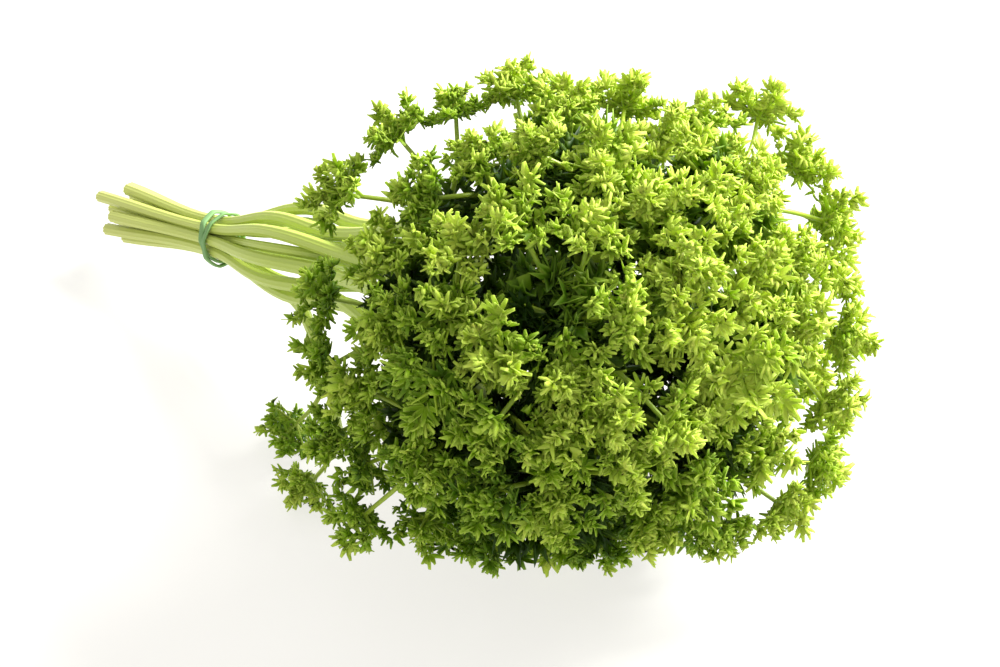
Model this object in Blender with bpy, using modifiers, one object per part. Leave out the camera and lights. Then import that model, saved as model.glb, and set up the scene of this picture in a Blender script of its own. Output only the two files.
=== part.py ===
"""A bunch of curly parsley that lies on its stems and leaves, held by a rubber band wound twice.

Lengths are in millimetres and become metres where a mesh is made. The origin is under the middle of
the bunch on the surface it lies on, +X runs along the stems towards the leaves and +Z is up. The
leaves make a round head. Each tuft of leaf has its place across and up the head, as the head is seen
from the side named by VIEW_TURN and VIEW_TILT.
"""

import math
import random

import bmesh
import bpy
import numpy as np

MM = 0.001
GAP = 0.3

# The head of leaves, and the side that the tufts' places are measured from
HEAD_CENTRE = np.array((55.0, 2.0, 57.0))
HEAD_RADII = np.array((50.0, 58.0, 47.0))
VIEW_TURN = math.radians(41.0)
VIEW_TILT = math.radians(35.0)
VIEW_DISTANCE = 587.0
OUTWARD_PULL = 0.9

# The stems: from the cut ends through the band into the head
AXIS_PITCH = math.radians(14.2)
TIE_BEHIND_HEAD = 134.0
CUT_BEHIND_TIE = 46.0
CUT_STAGGER = 8.0
CUT_DROP = -1.5
CUT_SPREAD = 1.5
OUTER_STEMS = 9
OUTER_RING = 4.6
OUTER_RADIUS = 1.42
INNER_RING = 1.75
INNER_RADIUS = 1.1
EASE_ROUNDS = 60
EASE_MARGIN = 0.15
EASE_SHARE = 0.6
EASED_POINTS = 2
TIE_POINT = 1
STEM_SIDES = 8
SAMPLE_STEP = 2.0
FORKS_SPREAD_FROM = 12.0
LAYOUT_SEED = 7
STEM_SWELL = 1.2
STEM_FULL = 1.45
FORK_RADII = (1.4, 1.25, 1.1)
PATH_SHARES = (0.0, 0.2, 0.4, 0.66, 0.83, 1.0)
FORKS_PER_STEM = 3
FORKS_TRIED = 8
FAN_POWER = 2.0

# The leaflets and their stalks
LEAF_THICKNESS = 0.7
TEETH = 10
# How deep each cut between teeth goes, as a share of the leaf: plain ones, then lobes and the foot
TOOTH_CUT = 0.76
DEEP_CUTS = {5: 0.5, 13: 0.5, 19: 0.3}
TOOTH_VARIES = (0.88, 1.12)
FULLNESS = 1.2
CUP_ANGLES = (58, 74)
OPEN_CUP = 80.0
OPEN_FROM_RADIUS = 12
LEAF_WAVE = 0.26
LEAST_LEFT = 0.15
NEIGHBOUR_MARGIN = 0.1
LEAF_SEED = 11
STALK_SIDES = 4
STALK_RADII = (0.7, 0.6, 0.5)
STALK_CLEARANCE = 0.7
LEAF_TO_STEM = 5.5
SITE_TO_STEM = 3.5
MOST_BACKWARD = -0.35
STALK_BOW = 0.12
STALK_LANDING = 0.25
PRESSED_STALK_LIFT = 0.2
# Tufts that fill the far side, then the holes under the surface: share of the head's size, spacing
FILLS = ((1.0, 21.0), (0.78, 16.5), (0.55, 24.0))
FILL_TRIES = 3000
FILL_REARMOST = -0.72
FILL_NEAREST_VIEW = -0.1
FILL_RADIUS_SHARE = 0.56
FILL_LEAST_RADIUS = 10.0

# Faces this near to one plane are made one before they become triangles
FLAT_ANGLE = math.radians(0.5)

# The band
BAND_WIDTH = 1.8
BAND_THICKNESS = 0.9
BAND_SPREAD = 2.2
BAND_FLARE = 0.2
BAND_STEPS = 48
BAND_SIDES = 6
BAND_PARTS_AT = math.radians(60.0)
CROSSING_LENGTH = 0.45
# The ring that the band is bent from: how thick it is, for a radius of one
RING_THICKNESS = 0.25

# Each leafy stem's last fork: across and up the head, and how far out from its middle
FORKS = {
    "sprig_top": (-27, 36, 0.80),
    "sprig_left": (-44, -4, 0.75),
    "sprig_low_left": (-42, -32, 0.75),
    "sprig_centre": (-8, 0, 0.78),
    "sprig_bottom": (-8, -46, 0.75),
    "sprig_low_right": (32, -38, 0.75),
    "sprig_right": (50, -3, 0.75),
    "sprig_top_middle": (3, 40, 0.75),
    "sprig_upper_right": (23, 20, 0.80),
    "sprig_top_right": (37, 33, 0.80),
}
# The same for two on the far side, as a direction from the middle of the head
FAR_FORKS = {
    "sprig_far_side": (0.1, 1.0, 0.25, 0.7),
    "sprig_far_low": (0.35, 0.8, -0.55, 0.7),
}
# The short one that droops to the surface under the stems: across, up, height
LOW_FORK = (-58, -26, 11)

# Tufts of leaf on the near side of the head: across, up, radius
TUFTS = (
    (-17, 51, 10), (-31, 47, 8), (-25, 36, 9), (-44, 42, 9.5), (-11, 38, 9),
    (-56, 29, 10), (-47, 15, 10), (-37, 28, 10), (-30, 15, 11),
    (-60, 5, 10), (-59, -10, 10), (-45, -1, 10), (-32, 0, 10),
    (-58, -26, 9), (-50, -17, 11), (-36, -16, 13), (-20, -8, 12), (-22, -24, 11),
    (-51, -33, 10), (-52, -45, 9), (-37, -33, 11), (-38, -46, 9),
    (-23, -49, 10), (-22, -39, 11), (-8, -43, 10), (2, -50, 9), (13, -45, 10),
    (-16, 21, 12), (0, 19, 11), (7, 1, 11), (-7, -28, 10), (-4, -12, 10),
    (35, -12, 13), (22, 0, 11), (4, -21, 11), (18, -24, 11),
    (8, -34, 10), (24, -38, 11), (39, -29, 11), (30, -47, 9), (43, -42, 10), (51, -33, 10),
    (54, 11, 10), (57, -4, 10), (54, -19, 10), (46, -2, 10), (47, 13, 9),
    (-6, 48, 9), (8, 49, 10), (19, 40, 10), (3, 34, 11),
    (16, 26, 10), (29, 25, 10), (21, 12, 11), (35, 9, 11),
    (26, 44, 9), (39, 47, 9.5), (47, 35, 10), (37, 32, 9), (54, 23, 9.5),
)
# Tufts on the surface that the bunch lies on: across, up, radius, height
LOW_TUFTS = ((-68, -24, 9, 7), (-64, -37, 9, 7))
# The tufts pressed flat under the head, which carry it: along and across the bunch, radius
REST_TUFTS = ((65.0, 6.0, 11.0), (35.0, -22.0, 10.0), (36.0, 32.0, 10.0))
WIDEST_TUFT = 13.0


def unit(v):
    return v / np.linalg.norm(v)


ALONG = np.array((math.cos(AXIS_PITCH), 0.0, math.sin(AXIS_PITCH)))
SIDE = np.array((0.0, 1.0, 0.0))
RISE = np.cross(ALONG, SIDE)
TIE = HEAD_CENTRE - TIE_BEHIND_HEAD * ALONG
VIEW_RIGHT = np.array((math.cos(VIEW_TURN), math.sin(VIEW_TURN), 0.0))
VIEW_BACK = np.array(
    (
        math.sin(VIEW_TURN) * math.cos(VIEW_TILT),
        -math.cos(VIEW_TURN) * math.cos(VIEW_TILT),
        math.sin(VIEW_TILT),
    )
)
VIEW_UP = np.cross(VIEW_BACK, VIEW_RIGHT)


def sight(across, up):
    """Where the line of sight starts, and its direction."""
    eye = HEAD_CENTRE + VIEW_DISTANCE * VIEW_BACK
    return eye, unit(across * VIEW_RIGHT + up * VIEW_UP - VIEW_DISTANCE * VIEW_BACK)


def on_head(across, up):
    """The point of the head's surface on a line of sight, or where the line passes nearest."""
    eye, ray = sight(across, up)
    o, d = (eye - HEAD_CENTRE) / HEAD_RADII, ray / HEAD_RADII
    a, b, c = d @ d, o @ d, o @ o - 1
    t = (-b - math.sqrt(max(b * b - a * c, 0.0))) / a
    return eye + t * ray


def at_height(across, up, height):
    eye, ray = sight(across, up)
    return eye + (height - eye[2]) / ray[2] * ray


def head_normal(point):
    return unit((point - HEAD_CENTRE) / HEAD_RADII**2)


class Stem:
    """One leafy stem: its path from the cut end, its radii, its forks, and the tufts it carries."""

    def __init__(self, name, tip, slot, slot_radius, cut):
        self.name, self.slot = name, slot
        self.reach = (tip - TIE) @ ALONG
        self.fan = tip - TIE - self.reach * ALONG - slot
        self.path = [TIE - cut * ALONG + slot * CUT_SPREAD - CUT_DROP * np.array((0.0, 0.0, 1.0))]
        self.path += [self.at(share) for share in PATH_SHARES]
        swell, full = slot_radius * STEM_SWELL, slot_radius * STEM_FULL
        self.radii = [swell, slot_radius, swell, full, *FORK_RADII]
        self.tufts, self.stalks, self.beads = [], [], []

    def at(self, share):
        return TIE + self.slot + share * self.reach * ALONG + share**FAN_POWER * self.fan

    def forks(self):
        """Each fork with the way the stem arrives at it."""
        for i in range(-FORKS_PER_STEM, 0):
            yield self.path[i], unit(self.path[i] - self.path[i - 1])

    def add(self, stalk, tuft):
        self.stalks.append(stalk)
        self.tufts.append(tuft)
        self.beads.append(samples(stalk, STALK_RADII))


def samples(path, radii):
    """Points and radii along a path, one every SAMPLE_STEP or so."""
    found = []
    for (a, b), (ra, rb) in zip(zip(path, path[1:]), zip(radii, radii[1:])):
        count = max(1, math.ceil(np.linalg.norm(b - a) / SAMPLE_STEP))
        for i in range(count + 1):
            found.append((*(a + (b - a) * i / count), ra + (rb - ra) * i / count))
    return np.array(found)


def plan_stems(draw):
    """The stems, each with the place in the band that suits the way it leaves it."""
    middle = HEAD_CENTRE - FORKS_SPREAD_FROM * ALONG
    tips = {name: middle + out * (on_head(a, u) - middle) for name, (a, u, out) in FORKS.items()}
    for name, (x, y, z, out) in FAR_FORKS.items():
        tips[name] = middle + out * HEAD_RADII * unit(np.array((x, y, z)))
    tips["sprig_short"] = at_height(*LOW_FORK)
    ways = {name: ((tip - TIE) @ SIDE, (tip - TIE) @ RISE) for name, tip in tips.items()}
    by_width = sorted(ways, key=lambda name: -math.hypot(*ways[name]))
    stems = []
    for names, ring, radius in (
        (by_width[:OUTER_STEMS], OUTER_RING, OUTER_RADIUS),
        (by_width[OUTER_STEMS:], INNER_RING, INNER_RADIUS),
    ):
        turns = {name: math.atan2(ways[name][1], ways[name][0]) for name in names}
        order = sorted(names, key=turns.get)
        step = 2 * math.pi / len(order)
        lead = np.mean([turns[name] - i * step for i, name in enumerate(order)])
        for i, name in enumerate(order):
            turn = lead + i * step
            slot = ring * (math.cos(turn) * SIDE + math.sin(turn) * RISE)
            cut = CUT_BEHIND_TIE + draw.uniform(-CUT_STAGGER, CUT_STAGGER)
            stems.append(Stem(name, tips[name], slot, radius, cut))
    ease_apart(stems)
    for stem in stems:
        stem.beads.append(samples(stem.path, stem.radii))
    return stems


def ease_apart(stems):
    """Bends stems that run too close away from each other, all but their places in the band."""
    for _ in range(EASE_ROUNDS):
        for i, first in enumerate(stems):
            for second in stems[i + 1 :]:
                a, b = samples(first.path, first.radii), samples(second.path, second.radii)
                apart = np.linalg.norm(a[:, None, :3] - b[None, :, :3], axis=2)
                room = apart - a[:, None, 3] - b[None, :, 3] - GAP - EASE_MARGIN
                j, k = np.unravel_index(room.argmin(), room.shape)
                if room[j, k] >= 0:
                    continue
                push = unit(a[j, :3] - b[k, :3]) * -room[j, k] * EASE_SHARE
                for stem, point, way in ((first, a[j, :3], push), (second, b[k, :3], -push)):
                    off = [np.linalg.norm(place - point) for place in stem.path]
                    for n in np.argsort(off)[:EASED_POINTS]:
                        if n != TIE_POINT:
                            stem.path[n] = stem.path[n] + way


def clear_of(stalk, owner, stems):
    """True if a stalk keeps off every other stem, its stalks and its tufts."""
    mine = samples(stalk, STALK_RADII)
    for other in (stem for stem in stems if stem is not owner):
        theirs = np.concatenate(other.beads)
        apart = np.linalg.norm(mine[:, None, :3] - theirs[None, :, :3], axis=2)
        if (apart - mine[:, None, 3] - theirs[None, :, 3]).min() < STALK_CLEARANCE:
            return False
        for tuft in other.tufts:
            if np.linalg.norm(mine[:, :3] - tuft["site"], axis=1).min() < LEAF_TO_STEM:
                return False
    return True


def attach(site, radius, stems, open_leaf=False, flat=False):
    """Gives a tuft to the nearest fork that a clear stalk can reach."""
    beads = np.concatenate([bead for stem in stems for bead in stem.beads])
    if (np.linalg.norm(beads[:, :3] - site, axis=1) - beads[:, 3]).min() < SITE_TO_STEM:
        return False
    forks = [(stem, fork, away) for stem in stems for fork, away in stem.forks()]
    reaches = [np.linalg.norm(site - fork) for _, fork, _ in forks]
    for n in np.argsort(reaches)[:FORKS_TRIED]:
        stem, fork, away = forks[n]
        reach = reaches[n]
        if unit(site - fork) @ away < MOST_BACKWARD:
            continue
        bend = fork + 0.5 * (site - fork) + STALK_BOW * reach * away
        stalk = [fork, bend, site]
        if clear_of(stalk, stem, stems):
            stem.add(stalk, {"site": site, "radius": radius, "from": bend, "flat": flat, "open": open_leaf})
            return True
    return False


def plan():
    """The stems with all their tufts: those that carry the bunch, those seen, and those that fill."""
    draw = random.Random(LAYOUT_SEED)
    stems = plan_stems(draw)
    placed = []
    for x, y, radius in REST_TUFTS:
        rest = np.array((x, y, LEAF_THICKNESS / 2))
        if attach(rest, radius, stems, flat=True):
            placed.append(rest)
    sites = [(at_height(across, up, height), radius) for across, up, radius, height in LOW_TUFTS]
    sites += [(on_head(across, up), radius) for across, up, radius in TUFTS]
    for site, radius in sites:
        if attach(site, radius, stems, open_leaf=radius > OPEN_FROM_RADIUS):
            placed.append(site)
    for share, spacing in FILLS:
        for _ in range(FILL_TRIES):
            way = unit(np.array([draw.gauss(0, 1) for _ in range(3)]))
            site = HEAD_CENTRE + share * HEAD_RADII * way
            seen = share == 1 and head_normal(site) @ VIEW_BACK > FILL_NEAREST_VIEW
            if unit(site - HEAD_CENTRE) @ ALONG < FILL_REARMOST or seen:
                continue
            if min(np.linalg.norm(site - other) for other in placed) < spacing:
                continue
            if attach(site, max(FILL_RADIUS_SHARE * spacing, FILL_LEAST_RADIUS), stems):
                placed.append(site)
    return stems


def clamp_limits(tuft, owner, stems):
    """The planes that a tuft keeps behind: unit vectors from its place, and how far off each is."""
    site, walls = tuft["site"], []
    slack = (GAP + LEAF_THICKNESS) / 2 + NEIGHBOUR_MARGIN
    for stem in stems:
        for other in stem.tufts:
            apart = np.linalg.norm(other["site"] - site)
            if other is not tuft and apart < 3 * WIDEST_TUFT:
                walls.append((*((other["site"] - site) / apart), apart / 2 - slack))
        if stem is owner:
            continue
        for x, y, z, r in np.concatenate(stem.beads):
            apart = np.linalg.norm((x, y, z) - site)
            if apart < 2 * WIDEST_TUFT:
                walls.append((*((np.array((x, y, z)) - site) / apart), apart - r - 2 * slack))
    return np.array(walls)


def leaf_points(tuft, owner, stems, draw):
    """The rim of a tuft, teeth and the cuts between them in turn, each cut deeper between the lobes."""
    site, radius = tuft["site"], tuft["radius"]
    out = unit(unit(site - tuft["from"]) + OUTWARD_PULL * head_normal(site))
    radius *= FULLNESS
    half_angle = math.radians(draw.uniform(*CUP_ANGLES))
    wave, shift = LEAF_WAVE * radius, draw.uniform(0, 2 * math.pi)
    if tuft["open"]:
        half_angle = math.radians(OPEN_CUP)
    if tuft["flat"]:
        out, half_angle, wave = np.array((0.0, 0.0, -1.0)), math.pi / 2, 0.0
    across = unit(np.cross(out, unit(np.array((draw.gauss(0, 1), draw.gauss(0, 1), 0.3)))))
    up = np.cross(out, across)
    spin = draw.uniform(0, 2 * math.pi)
    points = []
    for k in range(2 * TEETH):
        angle = 2 * math.pi * k / (2 * TEETH)
        if k % 2 == 0:
            r = radius * draw.uniform(*TOOTH_VARIES)
        else:
            r = radius * DEEP_CUTS.get(k, TOOTH_CUT)
        height = r * math.cos(half_angle)
        height += wave * (r / radius) * (math.sin(3 * angle + shift) + (0.5 if k % 4 == 0 else -0.5))
        turned = angle + spin
        flat = math.cos(turned) * across + math.sin(turned) * up
        points.append(site + r * math.sin(half_angle) * flat + height * out)
    points = np.array(points)
    points[:, 2] = np.maximum(points[:, 2], LEAF_THICKNESS / 2)
    walls = clamp_limits(tuft, owner, stems)
    offsets = points - site
    if len(walls):
        toward = offsets @ walls[:, :3].T
        share = np.where(toward > 1e-6, walls[:, 3] / np.maximum(toward, 1e-6), 1.0)
        offsets *= np.clip(share.min(axis=1), LEAST_LEFT, 1.0)[:, None]
    return site + offsets


def main_body(shape):
    """Keeps the largest connected body, which fills any hollow that the joining sealed."""
    left, bodies = set(shape.faces), []
    while left:
        body, edge = [], [left.pop()]
        while edge:
            face = edge.pop()
            body.append(face)
            for other in (f for side in face.edges for f in side.link_faces):
                if other in left:
                    left.remove(other)
                    edge.append(other)
        bodies.append(body)
    bodies.sort(key=len)
    for body in bodies[:-1]:
        bmesh.ops.delete(shape, geom=body, context="FACES")


def mesh_object(name, mesh, collection):
    made = bpy.data.objects.new(name, mesh)
    collection.objects.link(made)
    return made


def settled(made, name, one_body=False):
    """The object's mesh as its modifiers and bevels leave it, with its caps welded."""
    graph = bpy.context.evaluated_depsgraph_get()
    mesh = bpy.data.meshes.new_from_object(made.evaluated_get(graph))
    mesh.name = name
    shape = bmesh.new()
    shape.from_mesh(mesh)
    bmesh.ops.remove_doubles(shape, verts=shape.verts, dist=1e-6)
    if one_body:
        main_body(shape)
        bmesh.ops.dissolve_limit(shape, angle_limit=FLAT_ANGLE, verts=shape.verts, edges=shape.edges)
    bmesh.ops.triangulate(shape, faces=shape.faces)
    shape.to_mesh(mesh)
    shape.free()
    bpy.data.objects.remove(made)
    return mesh


def tube(name, path, radii, sides, collection):
    curve = bpy.data.curves.new(name, "CURVE")
    curve.dimensions = "3D"
    curve.bevel_depth = MM
    curve.bevel_resolution = (sides - 4) // 2
    curve.use_fill_caps = True
    spline = curve.splines.new("POLY")
    spline.points.add(len(path) - 1)
    for point, place, radius in zip(spline.points, path, radii):
        point.co = (*(place * MM), 1.0)
        point.radius = radius
    return mesh_object(name, settled(mesh_object(name, curve, collection), name), collection)


def landing(rim, tuft):
    """Where the stalk meets the blade: a little off its middle, between a tooth and a cut."""
    site = tuft["site"]
    ways = (rim + np.roll(rim, -1, axis=0)) / 2 - site
    back = unit(tuft["from"] - site)
    near = max(ways, key=lambda way: unit(way) @ back)
    lift = PRESSED_STALK_LIFT if tuft["flat"] else 0.0
    return site + STALK_LANDING * near + np.array((0.0, 0.0, lift))


def leaf(name, site, points, collection):
    shape = bmesh.new()
    bmesh.ops.create_circle(shape, cap_ends=True, cap_tris=True, radius=1.0, segments=2 * TEETH)
    rim = [v for v in shape.verts if v.co.length > 0.5]
    rim.sort(key=lambda v: math.atan2(v.co.y, v.co.x) % (2 * math.pi))
    centre = next(v for v in shape.verts if v.co.length < 0.5)
    centre.co = site * MM
    for vertex, point in zip(rim, points):
        vertex.co = point * MM
    mesh = bpy.data.meshes.new(name)
    shape.to_mesh(mesh)
    shape.free()
    made = mesh_object(name, mesh, collection)
    wall = made.modifiers.new("Thickness", "SOLIDIFY")
    wall.thickness = LEAF_THICKNESS * MM
    wall.offset = 0.0
    return mesh_object(name, settled(made, name), collection)


def fused(stem, stems, draw, material, collection):
    """One leafy stem as one solid: its tubes and leaves joined."""
    repeats = bpy.data.collections.new("repeats")
    bpy.context.scene.collection.children.link(repeats)
    body = tube(stem.name, stem.path, stem.radii, STEM_SIDES, collection)
    for i, (stalk, tuft) in enumerate(zip(stem.stalks, stem.tufts)):
        rim = leaf_points(tuft, stem, stems, draw)
        leaf(f"leaf_{i}", tuft["site"], rim, repeats)
        tube(f"stalk_{i}", [*stalk[:-1], landing(rim, tuft)], STALK_RADII, STALK_SIDES, repeats)
    joint = body.modifiers.new("Joined", "BOOLEAN")
    joint.operation = "UNION"
    joint.operand_type = "COLLECTION"
    joint.collection = repeats
    joint.solver = "MANIFOLD"
    mesh = settled(body, stem.name, one_body=True)
    for made in list(repeats.objects):
        bpy.data.objects.remove(made)
    bpy.data.collections.remove(repeats)
    mesh.materials.clear()
    mesh.materials.append(material)
    return mesh_object(stem.name, mesh, collection)


def band(material, collection):
    """A closed flat loop wound twice: its two turns part on the far side and cross once underneath."""
    rounds = OUTER_RING + OUTER_RADIUS + GAP + BAND_THICKNESS / 2
    bpy.ops.mesh.primitive_torus_add(
        major_segments=BAND_STEPS,
        minor_segments=BAND_SIDES,
        major_radius=1.0,
        minor_radius=RING_THICKNESS,
    )
    made = bpy.context.object
    made.name = made.data.name = "rubber_band"
    for vertex in made.data.vertices:
        x, y, z = vertex.co
        u = math.atan2(y, x)
        turn = 2 * u + BAND_PARTS_AT
        out = (math.hypot(x, y) - 1.0) / RING_THICKNESS * BAND_THICKNESS / 2
        over = (BAND_THICKNESS + GAP) * math.exp(-(((u - math.pi / 2) / CROSSING_LENGTH) ** 2))
        slide = BAND_SPREAD * math.cos(u) ** 3 + z / RING_THICKNESS * BAND_WIDTH / 2
        spoke = math.cos(turn) * SIDE + math.sin(turn) * RISE
        out += BAND_FLARE * abs(slide)
        vertex.co = (TIE + (rounds + over + out) * spoke + slide * ALONG) * MM
    made.data.materials.append(material)
    for holder in list(made.users_collection):
        holder.objects.unlink(made)
    collection.objects.link(made)


def material(name, colour, roughness):
    made = bpy.data.materials.new(name)
    made.use_nodes = True
    shader = made.node_tree.nodes["Principled BSDF"]
    shader.inputs["Base Color"].default_value = (*colour, 1.0)
    shader.inputs["Roughness"].default_value = roughness
    shader.inputs["Metallic"].default_value = 0.0
    return made


def main():
    for old in list(bpy.data.objects):
        bpy.data.objects.remove(old)
    parsley = bpy.data.collections.new("parsley bunch")
    bpy.context.scene.collection.children.link(parsley)
    green = material("parsley green", (0.13, 0.33, 0.03), 0.5)
    elastic = material("green elastic", (0.08, 0.42, 0.2), 0.55)
    stems = plan()
    draw = random.Random(LEAF_SEED)
    for stem in stems:
        fused(stem, stems, draw, green, parsley)
    band(elastic, parsley)


main()
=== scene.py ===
"""The looks of a bunch of curly parsley: ribbed stalks, ruffled leaves and a rubber band wound twice.

Lengths are in millimetres and become metres where a mesh is made. Each leafy stem's path, forks and
tufts of leaf are worked out by the same rules as its solid. Every tuft divides into branches, leaflets
and small toothed pinnules that curl, in the same place, and more tufts fill the inside of the head.
"""

import math
import random

import bmesh
import bpy
import numpy as np
from mathutils import Matrix, Vector


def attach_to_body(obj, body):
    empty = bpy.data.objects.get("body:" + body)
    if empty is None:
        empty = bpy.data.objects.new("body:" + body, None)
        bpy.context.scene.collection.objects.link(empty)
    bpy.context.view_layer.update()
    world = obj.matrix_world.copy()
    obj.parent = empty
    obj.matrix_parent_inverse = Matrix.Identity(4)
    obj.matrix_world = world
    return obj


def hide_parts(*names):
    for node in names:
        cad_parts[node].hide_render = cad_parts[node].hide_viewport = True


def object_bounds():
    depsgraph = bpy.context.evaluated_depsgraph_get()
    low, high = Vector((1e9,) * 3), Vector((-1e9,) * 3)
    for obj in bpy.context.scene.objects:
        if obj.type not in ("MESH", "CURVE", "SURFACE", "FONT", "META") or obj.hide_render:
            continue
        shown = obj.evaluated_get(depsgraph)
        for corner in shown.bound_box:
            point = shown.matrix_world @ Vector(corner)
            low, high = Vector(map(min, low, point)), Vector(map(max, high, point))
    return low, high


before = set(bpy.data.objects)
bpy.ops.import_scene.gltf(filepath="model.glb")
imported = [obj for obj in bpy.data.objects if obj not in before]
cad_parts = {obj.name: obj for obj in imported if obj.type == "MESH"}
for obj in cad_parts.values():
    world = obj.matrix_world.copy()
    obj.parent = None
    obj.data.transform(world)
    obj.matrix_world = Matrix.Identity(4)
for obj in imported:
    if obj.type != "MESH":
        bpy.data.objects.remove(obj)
cad_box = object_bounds()

MM = 0.001
GAP = 0.3

# The head of leaves, and the side that the tufts' places are measured from
HEAD_CENTRE = np.array((55.0, 2.0, 57.0))
HEAD_RADII = np.array((50.0, 58.0, 47.0))
VIEW_TURN = math.radians(41.0)
VIEW_TILT = math.radians(35.0)
VIEW_DISTANCE = 587.0

# The stems: from the cut ends through the band into the head
AXIS_PITCH = math.radians(14.2)
TIE_BEHIND_HEAD = 134.0
CUT_BEHIND_TIE = 46.0
CUT_STAGGER = 8.0
CUT_DROP = -1.5
CUT_SPREAD = 1.5
OUTER_STEMS = 9
OUTER_RING = 4.6
OUTER_RADIUS = 1.42
INNER_RING = 1.75
INNER_RADIUS = 1.1
EASE_ROUNDS = 60
EASE_MARGIN = 0.15
EASE_SHARE = 0.6
EASED_POINTS = 2
TIE_POINT = 1
SAMPLE_STEP = 2.0
FORKS_SPREAD_FROM = 12.0
LAYOUT_SEED = 7
STEM_SWELL = 1.2
STEM_FULL = 1.45
FORK_RADII = (1.4, 1.25, 1.1)
PATH_SHARES = (0.0, 0.2, 0.4, 0.66, 0.83, 1.0)
FORKS_PER_STEM = 3
FORKS_TRIED = 8
FAN_POWER = 2.0

# The tufts of leaf and their stalks
LEAF_THICKNESS = 0.7
OPEN_FROM_RADIUS = 12
STALK_RADII = (0.7, 0.6, 0.5)
STALK_CLEARANCE = 0.7
LEAF_TO_STEM = 5.5
SITE_TO_STEM = 3.5
MOST_BACKWARD = -0.35
STALK_BOW = 0.12
# Tufts that fill the far side, then the holes under the surface: share of the head's size, spacing
FILLS = ((1.0, 21.0), (0.78, 16.5), (0.55, 24.0))
FILL_TRIES = 3000
FILL_REARMOST = -0.72
FILL_NEAREST_VIEW = -0.1
FILL_RADIUS_SHARE = 0.56
FILL_LEAST_RADIUS = 10.0

# The band
BAND_WIDTH = 1.8
BAND_THICKNESS = 0.9
BAND_SPREAD = 2.2
BAND_FLARE = 0.2
BAND_PARTS_AT = math.radians(60.0)
CROSSING_LENGTH = 0.45
# The ring that the band is bent from: how thick it is, for a radius of one
RING_THICKNESS = 0.25

# Each leafy stem's last fork: across and up the head, and how far out from its middle
FORKS = {
    "sprig_top": (-27, 36, 0.80),
    "sprig_left": (-44, -4, 0.75),
    "sprig_low_left": (-42, -32, 0.75),
    "sprig_centre": (-8, 0, 0.78),
    "sprig_bottom": (-8, -46, 0.75),
    "sprig_low_right": (32, -38, 0.75),
    "sprig_right": (50, -3, 0.75),
    "sprig_top_middle": (3, 40, 0.75),
    "sprig_upper_right": (23, 20, 0.80),
    "sprig_top_right": (37, 33, 0.80),
}
# The same for two on the far side, as a direction from the middle of the head
FAR_FORKS = {
    "sprig_far_side": (0.1, 1.0, 0.25, 0.7),
    "sprig_far_low": (0.35, 0.8, -0.55, 0.7),
}
# The short one that droops to the surface under the stems: across, up, height
LOW_FORK = (-58, -26, 11)

# Tufts of leaf on the near side of the head: across, up, radius
TUFTS = (
    (-17, 51, 10), (-31, 47, 8), (-25, 36, 9), (-44, 42, 9.5), (-11, 38, 9),
    (-56, 29, 10), (-47, 15, 10), (-37, 28, 10), (-30, 15, 11),
    (-60, 5, 10), (-59, -10, 10), (-45, -1, 10), (-32, 0, 10),
    (-58, -26, 9), (-50, -17, 11), (-36, -16, 13), (-20, -8, 12), (-22, -24, 11),
    (-51, -33, 10), (-52, -45, 9), (-37, -33, 11), (-38, -46, 9),
    (-23, -49, 10), (-22, -39, 11), (-8, -43, 10), (2, -50, 9), (13, -45, 10),
    (-16, 21, 12), (0, 19, 11), (7, 1, 11), (-7, -28, 10), (-4, -12, 10),
    (35, -12, 13), (22, 0, 11), (4, -21, 11), (18, -24, 11),
    (8, -34, 10), (24, -38, 11), (39, -29, 11), (30, -47, 9), (43, -42, 10), (51, -33, 10),
    (54, 11, 10), (57, -4, 10), (54, -19, 10), (46, -2, 10), (47, 13, 9),
    (-6, 48, 9), (8, 49, 10), (19, 40, 10), (3, 34, 11),
    (16, 26, 10), (29, 25, 10), (21, 12, 11), (35, 9, 11),
    (26, 44, 9), (39, 47, 9.5), (47, 35, 10), (37, 32, 9), (54, 23, 9.5),
)
# Tufts on the surface that the bunch lies on: across, up, radius, height
LOW_TUFTS = ((-68, -24, 9, 7), (-64, -37, 9, 7))
# The tufts pressed flat under the head, which carry it: along and across the bunch, radius
REST_TUFTS = ((65.0, 6.0, 11.0), (35.0, -22.0, 10.0), (36.0, 32.0, 10.0))
WIDEST_TUFT = 13.0


def unit(v):
    return v / np.linalg.norm(v)


ALONG = np.array((math.cos(AXIS_PITCH), 0.0, math.sin(AXIS_PITCH)))
SIDE = np.array((0.0, 1.0, 0.0))
RISE = np.cross(ALONG, SIDE)
TIE = HEAD_CENTRE - TIE_BEHIND_HEAD * ALONG
VIEW_RIGHT = np.array((math.cos(VIEW_TURN), math.sin(VIEW_TURN), 0.0))
VIEW_BACK = np.array(
    (
        math.sin(VIEW_TURN) * math.cos(VIEW_TILT),
        -math.cos(VIEW_TURN) * math.cos(VIEW_TILT),
        math.sin(VIEW_TILT),
    )
)
VIEW_UP = np.cross(VIEW_BACK, VIEW_RIGHT)


def sight(across, up):
    """Where the line of sight starts, and its direction."""
    eye = HEAD_CENTRE + VIEW_DISTANCE * VIEW_BACK
    return eye, unit(across * VIEW_RIGHT + up * VIEW_UP - VIEW_DISTANCE * VIEW_BACK)


def on_head(across, up):
    """The point of the head's surface on a line of sight, or where the line passes nearest."""
    eye, ray = sight(across, up)
    o, d = (eye - HEAD_CENTRE) / HEAD_RADII, ray / HEAD_RADII
    a, b, c = d @ d, o @ d, o @ o - 1
    t = (-b - math.sqrt(max(b * b - a * c, 0.0))) / a
    return eye + t * ray


def at_height(across, up, height):
    eye, ray = sight(across, up)
    return eye + (height - eye[2]) / ray[2] * ray


def head_normal(point):
    return unit((point - HEAD_CENTRE) / HEAD_RADII**2)


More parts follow.
